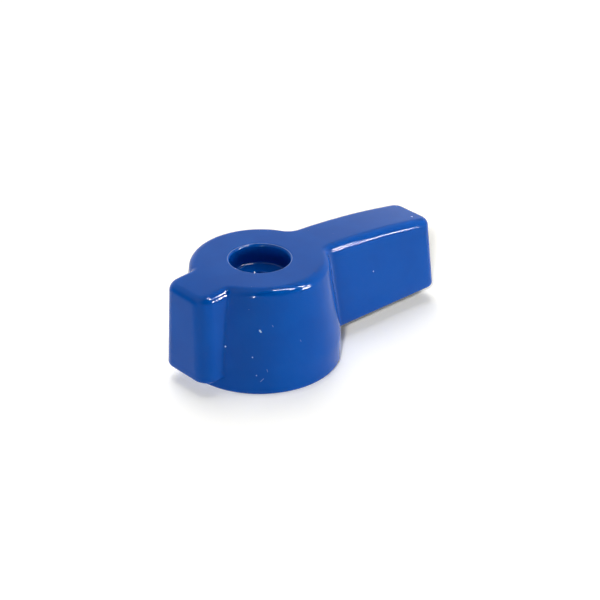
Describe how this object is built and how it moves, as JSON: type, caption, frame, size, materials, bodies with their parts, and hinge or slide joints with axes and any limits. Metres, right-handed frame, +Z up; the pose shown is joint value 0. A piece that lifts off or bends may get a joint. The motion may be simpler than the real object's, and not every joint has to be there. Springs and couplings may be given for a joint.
{
  "type": "valve lever handle",
  "caption": "Moulded plastic lever handle for a tap or valve: flared round hub with a screw seat in its top, a long lever, a short opposite stub and a serrated spindle socket below.",
  "frame": {"origin": "on the hub's axis at the plane of its foot, the centre of the skirt's open mouth", "axes": "+X along the lever towards its tip, +Z up along the hub's axis out of the screw seat, +Y to the left of the lever"},
  "size_m": [0.0753, 0.0382, 0.026],
  "materials": {
    "blue_plastic": "glossy moulded plastic, light dust and handling scratches"
  },
  "bodies": {
    "root": {"lever_handle": "blue_plastic"}
  },
  "joints": []
}
